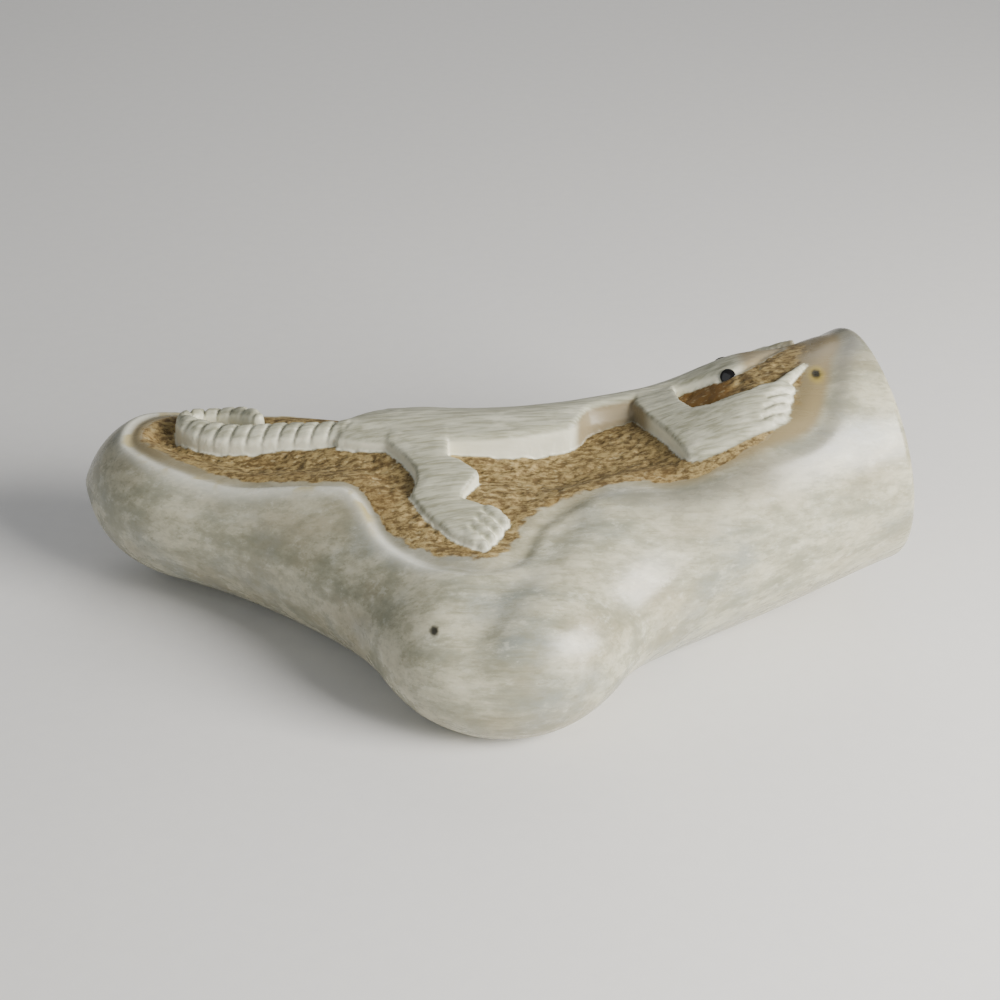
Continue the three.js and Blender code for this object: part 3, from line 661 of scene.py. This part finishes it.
def axis_quads(inside, number, axis):
    """A quad round each edge along one axis that the surface crosses, facing outwards."""
    u, v = [(axis + n) % 3 for n in (1, 2)]
    first = [slice(0, n) for n in number.shape]
    second = list(first)
    second[axis] = slice(1, number.shape[axis] + 1)
    start = inside[tuple(first)]
    edges = np.argwhere(start != inside[tuple(second)])
    edges = edges[(edges[:, u] > 0) & (edges[:, v] > 0)]
    back_u = np.eye(3, dtype=int)[u]
    back_v = np.eye(3, dtype=int)[v]
    ring = [edges, edges - back_u, edges - back_u - back_v, edges - back_v]
    quads = np.stack([number[tuple(r.T)] for r in ring], 1)
    outward = start[tuple(edges.T)]
    quads[~outward] = quads[~outward][:, ::-1]
    return quads


def surface_net(values, low, cell):
    """Points and quads of the surface where values change sign."""
    inside = values < 0
    cells, number = crossed_cells(inside)
    points = low + cell_points(values, cells) * cell
    return points, np.concatenate([axis_quads(inside, number, axis) for axis in range(3)])


def add_object(name, data):
    """A new object in the scene that shows data."""
    item = bpy.data.objects.new(name, data)
    bpy.context.scene.collection.objects.link(item)
    return item


def add_bmesh(name, mesh):
    """A new object in the scene made of a bmesh, which is freed."""
    data = bpy.data.meshes.new(name)
    mesh.to_mesh(data)
    mesh.free()
    return add_object(name, data)


def mesh_piece(name, points, faces):
    """A new object made of arrays of points and of faces that all have as many sides."""
    mesh = bpy.data.meshes.new(name)
    mesh.vertices.add(len(points))
    mesh.vertices.foreach_set("co", np.asarray(points, np.float32).ravel())
    sides = faces.shape[1]
    mesh.loops.add(faces.size)
    mesh.loops.foreach_set("vertex_index", faces.astype(np.int32).ravel())
    mesh.polygons.add(len(faces))
    mesh.polygons.foreach_set("loop_start", np.arange(0, faces.size, sides, dtype=np.int32))
    mesh.update(calc_edges=True)
    mesh.validate()
    return add_object(name, mesh)


def thin_out(piece, share):
    """Keeps about a share of a piece's facets."""
    thin = piece.modifiers.new("thin_out", "DECIMATE")
    thin.ratio = min(1.0, share)
    depsgraph = bpy.context.evaluated_depsgraph_get()
    mesh = bpy.data.meshes.new_from_object(piece.evaluated_get(depsgraph))
    piece.modifiers.clear()
    piece.data = mesh


def sample(grid, xs, ys, x, y):
    """Values of a map at points between its columns."""
    u = np.clip((x - xs[0]) / CELL, 0, len(xs) - LAST_COLUMN)
    v = np.clip((y - ys[0]) / CELL, 0, len(ys) - LAST_COLUMN)
    i = u.astype(int)
    j = v.astype(int)
    fu = u - i
    fv = v - j
    return (
        grid[i, j] * (1 - fu) * (1 - fv) + grid[i + 1, j] * fu * (1 - fv)
        + grid[i, j + 1] * (1 - fu) * fv + grid[i + 1, j + 1] * fu * fv
    )


def shift_to_cad(points):
    """The shift that sets points in the middle of the CAD box, on its floor."""
    box = np.array([points.min(0), points.max(0)])
    cad = np.array(CAD_BOX) / MM
    shift = cad.mean(0) - box.mean(0)
    shift[2] = cad[0][2] - box[0][2]
    return shift


def antler_piece():
    """The carved antler as one fine mesh, and the shift from its own frame to the CAD model's."""
    xs, ys, zs = (np.arange(a, b + CELL, CELL) for a, b in zip(NET_LOW, NET_HIGH))
    maps = plan_maps(xs, ys)
    points, quads = surface_net(grid_values(xs, ys, zs, maps), NET_LOW, CELL)
    shift = shift_to_cad(points)
    piece = mesh_piece("carved_antler", (points + shift) * MM, quads)
    thin_out(piece, KEPT_FACETS / (2 * len(quads)))
    piece.data.polygons.foreach_set("use_smooth", np.ones(len(piece.data.polygons), bool))
    paint_masks(piece, shift, xs, ys, maps)
    return piece, shift


def spot(points, middle, size):
    """A mask that is full round a middle and fades away from it."""
    away = np.linalg.norm((points - middle) / size, axis=1)
    return smooth_step(*SPOT_FADE, away)


def band(gap, middle, width):
    """A mask that is full where gap is at the middle and fades to both sides."""
    return np.exp(-(((gap - middle) / width) ** 2))


def lizard_masks(x, y, depth, lizard):
    """Where the lizard is, where its deeper flanks are painted bright as painted light, and where its
    snout has stain and painted shade and its neck painted shade.
    """
    snout = smooth_step(*SNOUT_STAIN_AND_SHADE, x) * smooth_step(*SNOUT_REACH, np.abs(y - SNOUT_MIDDLE))
    # Painted shade on the deeper walls of the neck and shoulder
    neck = smooth_step(*NECK_FROM, x) * smooth_step(*NECK_TO, x)
    neck *= smooth_step(*NECK_DEPTH, depth) * smooth_step(*NECK_SIDE, y)
    return {
        "lizard": lizard,
        # Deeper flanks, painted brighter as painted light
        "lit_flank": smooth_step(*LIT_FLANK_DEPTH, depth) * lizard,
        # Brown of the snout, stain and painted shade, and of the neck, painted shade
        "stain_and_shade": np.maximum(snout, neck) * lizard,
    }


def pocket_masks(x, y, rim, lizard, upper):
    """Where the spongy floor shows, its amber with painted shade between head and hand, and the bands of
    its rim: tan bank, painted shade, yellow stain and painted highlight.
    """
    bare = (1 - lizard) * upper
    floor = smooth_step(*FLOOR_FADE, -rim / curve_through(PALE_BANK_AT, PALE_BANK, x))
    tan = smooth_step(*TAN_FADE, rim) * curve_through(TAN_BANK_AT, TAN_BANK, x)
    amber = smooth_step(*AMBER_SHADE_FROM, x) * smooth_step(*AMBER_SHADE_TO, x) * smooth_step(*AMBER_SHADE_SIDE, y)
    return {
        "floor": floor * bare,
        "tan": tan * bare,
        # Amber with painted shade in the gap between head and hand
        "amber": amber * upper,
        # Painted shade in a band outside the right rim
        "grey": band(rim, *RIM_SHADE_BAND) * smooth_step(*RIM_SHADE_FROM, x) * upper,
        "yellow": band(rim, *YELLOW_BAND) * smooth_step(*YELLOW_TO, x) * upper,
        # Painted highlight in a band outside the left rim
        "rim_highlight": band(rim, *RIM_HIGHLIGHT_BAND) * smooth_step(*RIM_HIGHLIGHT_TO, x) * upper,
    }


def spot_masks(points):
    """The dark pit on the tine, the dark pore at the pocket's end, and the halo round the pore."""
    pit = spot(points, PIT_AT, PIT_SIZE)
    return {
        "pit": np.maximum(pit, spot(points, PORE_AT, PORE_SIZE)),
        "halo": HALO_STRENGTH * spot(points, PORE_AT, HALO_SIZE),
    }


def paint_masks(piece, shift, xs, ys, maps):
    """Attributes of the mesh that tell the material where each colour goes."""
    mesh = piece.data
    co = np.empty(len(mesh.vertices) * 3, np.float32)
    mesh.vertices.foreach_get("co", co)
    points = co.reshape(-1, 3) / MM - shift
    x, y, z = points.T
    rim = sample(maps["rim"], xs, ys, x, y)
    gap = sample(maps["lizard"], xs, ys, x, y)
    upper = z > UPPER_HEIGHT
    lizard = smooth_step(*LIZARD_FADE, gap) * (rim < 0) * upper
    masks = {
        **lizard_masks(x, y, -antler(x, y, z), lizard),
        **pocket_masks(x, y, rim, lizard, upper),
        **spot_masks(points),
    }
    for name, value in masks.items():
        layer = mesh.attributes.new(name, "FLOAT", "POINT")
        layer.data.foreach_set("value", value.astype(np.float32))


def dome_rings():
    """Radius and height of each ring of an eye, from its foot to just below its crown."""
    rings = [(EYE_DIAMETER / 2, -EYE_SUNK)]
    for ring in range(EYE_RINGS - 1):
        angle = ring / (EYE_RINGS - 1) * math.pi / 2
        rings.append((EYE_DIAMETER / 2 * math.cos(angle), EYE_PROUD * math.sin(angle)))
    return rings


def ring_vertices(mesh, radius, height, turn, seat):
    """New vertices round one ring of an eye."""
    loop = []
    for side in range(EYE_SIDES):
        angle = 2 * math.pi * side / EYE_SIDES
        corner = Vector((radius * math.cos(angle), radius * math.sin(angle), height)) * MM
        loop.append(mesh.verts.new(turn @ corner + seat))
    return loop


def dome(turn, seat):
    """A low smooth dome on a foot, turned and set on its seat."""
    mesh = bmesh.new()
    loops = [ring_vertices(mesh, radius, height, turn, seat) for radius, height in dome_rings()]
    for lower, upper in zip(loops, loops[1:]):
        for side in range(EYE_SIDES):
            after = (side + 1) % EYE_SIDES
            mesh.faces.new((lower[side], lower[after], upper[after], upper[side]))
    crown = mesh.verts.new(turn @ Vector((0, 0, EYE_PROUD * MM)) + seat)
    for side in range(EYE_SIDES):
        mesh.faces.new((loops[-1][side], loops[-1][(side + 1) % EYE_SIDES], crown))
    mesh.faces.new(loops[0][::-1])
    for face in mesh.faces:
        face.smooth = True
    return mesh


def bead(name, node, carving):
    """A low polished dome on the carving's skin, where a CAD eye is."""
    low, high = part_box(node)
    middle = (low + high) / 2
    above = Vector((middle.x, middle.y, high.z + EYE_LOOK_FROM * MM))
    tree = BVHTree.FromObject(carving, bpy.context.evaluated_depsgraph_get())
    seat, facing, _, _ = tree.ray_cast(above, Vector((0, 0, -1)))
    turn = Vector((0, 0, 1)).rotation_difference(facing).to_matrix()
    return add_bmesh(name, dome(turn, seat))


class Shader:
    """Short names for the few shader nodes that the materials here use."""

    def __init__(self, name):
        self.material = bpy.data.materials.new(name)
        self.material.use_nodes = True
        self.tree = self.material.node_tree
        self.surface = self.tree.nodes["Principled BSDF"]
        place = self.tree.nodes.new("ShaderNodeTexCoord")
        self.place = place.outputs["Object"]

    def join(self, socket, value):
        """Links a socket to the input, or sets the input to a plain value."""
        if isinstance(value, bpy.types.NodeSocket):
            self.tree.links.new(value, socket)
        else:
            socket.default_value = value

    def set(self, name, value):
        """Sets an input of the surface to a value or joins it to a socket."""
        self.join(self.surface.inputs[name], value)

    def noise(self, stretch, detail=4, roughness=0.55):
        """Noise whose lumps are stretch millimetres long, wide and high."""
        mapping = self.tree.nodes.new("ShaderNodeMapping")
        mapping.inputs["Scale"].default_value = [1 / (size * MM) for size in stretch]
        self.join(mapping.inputs["Vector"], self.place)
        node = self.tree.nodes.new("ShaderNodeTexNoise")
        node.inputs["Scale"].default_value = 1
        node.inputs["Detail"].default_value = detail
        node.inputs["Roughness"].default_value = roughness
        self.join(node.inputs["Vector"], mapping.outputs["Vector"])
        return node.outputs["Fac"]

    def ramp(self, value, low, high, out_low=0.0, out_high=1.0):
        """Takes a value from low and high to out_low and out_high, smoothly."""
        node = self.tree.nodes.new("ShaderNodeMapRange")
        node.interpolation_type = "SMOOTHSTEP"
        names = ("Value", "From Min", "From Max", "To Min", "To Max")
        for name, number in zip(names, (value, low, high, out_low, out_high)):
            self.join(node.inputs[name], number)
        return node.outputs["Result"]

    def math(self, operation, a, b):
        """A calculation with two values, such as ADD."""
        node = self.tree.nodes.new("ShaderNodeMath")
        node.operation = operation
        self.join(node.inputs[0], a)
        self.join(node.inputs[1], b)
        return node.outputs["Value"]

    def mix(self, share, a, b):
        """A colour with a share of b in a."""
        node = self.tree.nodes.new("ShaderNodeMix")
        node.data_type = "RGBA"
        for place, value in zip(MIX_INPUTS, (share, a, b)):
            self.join(node.inputs[place], value)
        return node.outputs[MIX_OUTPUT]

    def mask(self, name, strength=1.0):
        """An attribute of the mesh, weakened to its strength."""
        node = self.tree.nodes.new("ShaderNodeAttribute")
        node.attribute_name = name
        return self.math("MULTIPLY", node.outputs["Fac"], strength)

    def bump(self, height, distance, strength, normal=None):
        """Bumps on top of those that normal already has."""
        node = self.tree.nodes.new("ShaderNodeBump")
        node.inputs["Distance"].default_value = distance * MM
        self.join(node.inputs["Strength"], strength)
        self.join(node.inputs["Height"], height)
        if normal is not None:
            self.join(node.inputs["Normal"], normal)
        return node.outputs["Normal"]


def colour(red, green, blue):
    """A colour named by its screen values, as the shader wants it."""
    parts = []
    for value in (red, green, blue):
        c = value / SCREEN_WHITE
        if c <= SCREEN_DARK:
            parts.append(c / SCREEN_DARK_SLOPE)
        else:
            parts.append(((c + SCREEN_OFFSET) / (1 + SCREEN_OFFSET)) ** SCREEN_POWER)
    return (*parts, 1.0)


IVORY = colour(192, 188, 164)
GREY_GREEN = colour(142, 142, 122)
BEIGE = colour(154, 144, 116)
PALE = colour(210, 208, 190)
SLATE = colour(132, 142, 146)
MOTTLE = colour(134, 132, 110)
FIBRE = colour(128, 124, 98)
YELLOW = colour(170, 150, 66)
# Painted highlight laid along the left rim
RIM_HIGHLIGHT = colour(232, 232, 220)
PIT_BLACK = colour(40, 38, 26)
LIZARD_TOP = colour(188, 187, 166)
LIZARD_LINE = colour(150, 149, 126)
# Pale bone; on the lizard's flanks it stands for painted light
LIZARD_PALE_AND_LIT = colour(232, 230, 208)
# Brown that is stain and painted shade on the snout, and painted shade on the neck
STAIN_AND_SHADE = colour(122, 104, 68)
FLOOR_DARK = colour(92, 73, 38)
FLOOR_GOLD = colour(168, 146, 96)
FLOOR_LIGHT = colour(196, 180, 136)
AMBER = colour(118, 86, 36)
TAN = colour(132, 118, 86)
# Painted shade for the rolled rim on the right
RIM_SHADE_GREY = colour(118, 116, 106)
JET_DARK = colour(8, 8, 9)
JET_LIGHT = colour(24, 23, 22)
PAPER_DARK = colour(232, 231, 229)
PAPER_LIGHT = colour(238, 237, 235)

# Noises of the antler: size of the lumps in millimetres, detail and roughness
NOISES = {
    "streaks": ((17, 4.5, 4.5), 7, 0.66),
    "clouds": ((17, 12, 10), 4, 0.55),
    "slate": ((22, 14, 14), 3, 0.55),
    "mottle": ((3.6, 1.9, 1.9), 7, 0.72),
    "fibres": ((9, 0.5, 0.5), 4, 0.55),
    "blots": ((5, 5, 5), 2, 0.55),
    "lines": ((6, 0.5, 1.2), 5, 0.6),
    "shade": ((6, 3, 4), 4, 0.55),
    "grains": ((1.4, 0.7, 0.9), 6, 0.68),
    "crumbs": ((1.2, 0.7, 0.9), 3, 0.55),
    "patches": ((12, 7, 8), 3, 0.55),
    "ragged": ((3.0, 1.6, 2.0), 5, 0.55),
}

# Colours laid one over another: noise, where it starts and is full, strength and colour
SKIN_LAYERS = (
    ("streaks", 0.34, 0.64, 1, IVORY),
    ("clouds", 0.45, 0.7, 0.55, BEIGE),
    ("slate", 0.5, 0.72, 0.45, SLATE),
    ("mottle", 0.46, 0.66, 0.55, MOTTLE),
    ("fibres", 0.52, 0.7, 0.35, FIBRE),
    ("mottle", 0.46, 0.34, 0.4, PALE),
)
LIZARD_LAYERS = (
    ("lines", 0.34, 0.62, 1, LIZARD_TOP),
    ("shade", 0.5, 0.72, 0.5, LIZARD_PALE_AND_LIT),
)
LIT_FLANK_LAYERS = (("shade", 0.3, 0.7, 0.3, LIZARD_TOP),)
CORE_LAYERS = (
    ("grains", 0.38, 0.64, 1, FLOOR_GOLD),
    ("patches", 0.5, 0.68, 0.3, AMBER),
)
CRUMB_LAYERS = (("crumbs", 0.56, 0.74, 0.5, FLOOR_LIGHT),)
YELLOW_BLOTS = (0.5, 0.62, 0, 0.7)

# Strengths of the masks that are not laid on in full
RIM_HIGHLIGHT_STRENGTH = 0.6
STAIN_AND_SHADE_STRENGTH = 0.85
RIM_SHADE_STRENGTH = 0.6

# The ragged edge of the spongy core, in shares of the floor's mask
RAGGED_EDGE = (0.3, 0.7, -0.3, 0.3)
CORE_EDGE = (0.35, 0.75)

# How rough and how bumpy the surfaces are: a bump has a height in millimetres and a strength
SKIN_ROUGHNESS = (0.3, 0.7, 0.2, 0.34)
FLOOR_ROUGHNESS = 0.72
LIZARD_ROUGHNESS = 0.42
FIBRE_BUMP = (0.03, 0.5)
MASKED_BUMPS = (("grains", "floor", 0.28, 0.9), ("lines", "lizard", 0.12, 0.8))
SUBSURFACE_WEIGHT = 0.05
SUBSURFACE_RADIUS = (1.0, 0.7, 0.4)
SUBSURFACE_SCALE = 1.0
JET_CLOUD = ((0.9, 0.9, 0.9), 3)
JET_ROUGHNESS = (0.3, 0.7, 0.08, 0.16)
PAPER_GRAIN = (3, 3, 3)
PAPER_ROUGHNESS = 0.85


def layered(shader, noises, base, layers):
    """The base with each layer's colour laid over it where its noise is high."""
    for name, start, full, strength, tint in layers:
        base = shader.mix(shader.ramp(noises[name], start, full, 0, strength), base, tint)
    return base


def skin_colour(shader, noises):
    """Polished skin: ivory, grey-green and slate drawn out along the antler; along the rim a yellow
    stain, a tan bank, a band of painted shade and a band of painted highlight.
    """
    base = layered(shader, noises, GREY_GREEN, SKIN_LAYERS)
    # Painted highlight along the left rim
    base = shader.mix(shader.mask("rim_highlight", RIM_HIGHLIGHT_STRENGTH), base, RIM_HIGHLIGHT)
    blots = shader.ramp(noises["blots"], *YELLOW_BLOTS)
    base = shader.mix(shader.mask("yellow", blots), base, YELLOW)
    # Painted shade along the right rim
    base = shader.mix(shader.mask("grey", RIM_SHADE_STRENGTH), base, RIM_SHADE_GREY)
    return shader.mix(shader.mask("tan"), base, TAN)


def lizard_colour(shader, noises):
    """Carved bone: dull streaked tops, flanks painted bright as painted light, brown stain with painted
    shade on the snout and painted shade on the neck.
    """
    top = layered(shader, noises, LIZARD_LINE, LIZARD_LAYERS)
    lit_flank = layered(shader, noises, LIZARD_PALE_AND_LIT, LIT_FLANK_LAYERS)
    # Flanks painted brighter than the tops: painted light
    base = shader.mix(shader.mask("lit_flank"), top, lit_flank)
    # Brown stain with painted shade on the snout, painted shade on the neck
    return shader.mix(shader.mask("stain_and_shade", STAIN_AND_SHADE_STRENGTH), base, STAIN_AND_SHADE)


def core_colour(shader, noises):
    """Spongy core: brown grains, gold and pale crumbs, amber in patches, and amber with painted shade in
    the gap between hand and head.
    """
    base = layered(shader, noises, FLOOR_DARK, CORE_LAYERS)
    # Amber with painted shade in the gap between head and hand
    base = shader.mix(shader.mask("amber"), base, AMBER)
    return layered(shader, noises, base, CRUMB_LAYERS)


def antler_colour(shader, noises):
    """The core in the pocket, the lizard on it, the skin round it, and the spots over all."""
    ragged = shader.ramp(noises["ragged"], *RAGGED_EDGE)
    edge = shader.math("ADD", shader.mask("floor"), ragged)
    core = core_colour(shader, noises)
    base = shader.mix(shader.ramp(edge, *CORE_EDGE), skin_colour(shader, noises), core)
    base = shader.mix(shader.mask("lizard"), base, lizard_colour(shader, noises))
    base = shader.mix(shader.mask("halo"), base, YELLOW)
    return shader.mix(shader.mask("pit"), base, PIT_BLACK)


def antler_relief(shader, noises):
    """Fine bumps: fibres everywhere, grains on the floor, lines on the lizard."""
    relief = shader.bump(noises["fibres"], *FIBRE_BUMP)
    for noise, mask, height, strength in MASKED_BUMPS:
        relief = shader.bump(noises[noise], height, shader.mask(mask, strength), relief)
    return relief


def antler_material():
    """Antler in all its colours, glossy on the skin and matt on the floor of the pocket."""
    shader = Shader("polished_antler")
    noises = {name: shader.noise(*settings) for name, settings in NOISES.items()}
    rough = shader.ramp(noises["streaks"], *SKIN_ROUGHNESS)
    rough = shader.math("MAXIMUM", shader.mask("floor", FLOOR_ROUGHNESS), rough)
    rough = shader.math("MAXIMUM", shader.mask("lizard", LIZARD_ROUGHNESS), rough)
    shader.set("Base Color", antler_colour(shader, noises))
    shader.set("Roughness", rough)
    shader.set("Subsurface Weight", SUBSURFACE_WEIGHT)
    shader.set("Subsurface Radius", SUBSURFACE_RADIUS)
    shader.set("Subsurface Scale", SUBSURFACE_SCALE * MM)
    shader.set("Normal", antler_relief(shader, noises))
    return shader.material


def jet_material():
    """Polished black stone, faintly clouded."""
    shader = Shader("black_jet")
    cloud = shader.noise(*JET_CLOUD)
    shader.set("Base Color", shader.mix(cloud, JET_DARK, JET_LIGHT))
    shader.set("Roughness", shader.ramp(cloud, *JET_ROUGHNESS))
    return shader.material


def stage_floor():
    """A wide sheet of pale paper under the carving."""
    mesh = bmesh.new()
    bmesh.ops.create_grid(mesh, x_segments=1, y_segments=1, size=FLOOR_SIZE)
    floor = add_bmesh("studio_floor", mesh)
    shader = Shader("studio_paper")
    shader.set("Base Color", shader.mix(shader.noise(PAPER_GRAIN), PAPER_DARK, PAPER_LIGHT))
    shader.set("Roughness", PAPER_ROUGHNESS)
    floor.data.materials.append(shader.material)


def aim(item, target, towards, distance):
    """Sets an object at a distance from the target and turns it to face the target."""
    item.location = target + towards * distance
    item.rotation_mode = "QUATERNION"
    item.rotation_quaternion = towards.to_track_quat("Z", "Y")


def soft_light(name, direction, distance, size, power, tint, target):
    """A square panel that shines at target from a direction."""
    data = bpy.data.lights.new(name, "AREA")
    data.shape = "SQUARE"
    data.size = size
    data.energy = power
    data.color = tint
    aim(add_object(name, data), target, Vector(direction).normalized(), distance)


def studio(target):
    """Dim even air and the soft lights."""
    world = bpy.data.worlds.new("studio_air")
    world.use_nodes = True
    air = world.node_tree.nodes["Background"]
    air.inputs["Color"].default_value = AIR_COLOUR
    air.inputs["Strength"].default_value = AIR_STRENGTH
    bpy.context.scene.world = world
    for light in LIGHTS:
        soft_light(*light, target)


def photo_camera(target):
    """The camera that sees the carving as the photo does."""
    data = bpy.data.cameras.new("photo_camera")
    data.lens = LENS
    data.sensor_width = SENSOR
    data.shift_y = SHIFT_UP
    data.clip_start = CLIP_NEAR
    data.clip_end = CLIP_FAR
    camera = add_object("photo_camera", data)
    elevation = math.radians(VIEW_ELEVATION)
    aim(camera, target, Vector((0, -math.cos(elevation), math.sin(elevation))), VIEW_DISTANCE)
    bpy.context.scene.camera = camera


def dress():
    """The whole scene: the carving, its eyes, the floor, the lights and the camera."""
    carving, shift = antler_piece()
    carving.data.materials.append(antler_material())
    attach(carving, "root")
    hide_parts("antler_lizard_carving")
    jet = jet_material()
    for name, node in (("near_eye_bead", "near_eye_inlay"), ("far_eye_bead", "far_eye_inlay")):
        eye = bead(name, node, carving)
        eye.data.materials.append(jet)
        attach(eye, "root")
        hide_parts(node)
    target = Vector((*(shift[:2] * MM), VIEW_HEIGHT))
    stage_floor()
    studio(target)
    photo_camera(target)


dress()
